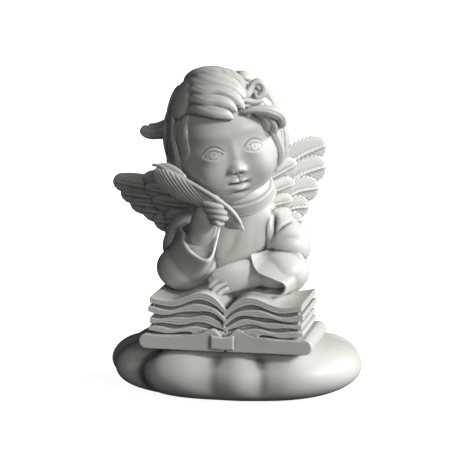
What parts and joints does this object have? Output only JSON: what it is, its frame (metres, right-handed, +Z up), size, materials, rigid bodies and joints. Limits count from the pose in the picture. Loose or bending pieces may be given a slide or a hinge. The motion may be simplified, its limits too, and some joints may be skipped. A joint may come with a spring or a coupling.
{
  "type": "angel statue",
  "caption": "Small white cast statue of a winged child in a robe with a quill, leaning on an open book, on a puffy cloud base.",
  "frame": {"origin": "On the flat underside of the cloud, at the middle of the cloud's oval", "axes": "+Z up, -Y is the front where the book's gutter opens, +X is to the child's left, the viewer's right"},
  "size_m": [0.0953, 0.0668, 0.1171],
  "materials": {
    "white_casting": "off-white cast resin and stone powder, satin, slightly darker in the hollows"
  },
  "bodies": {
    "root": {"angel_statue": "white_casting"}
  },
  "joints": []
}
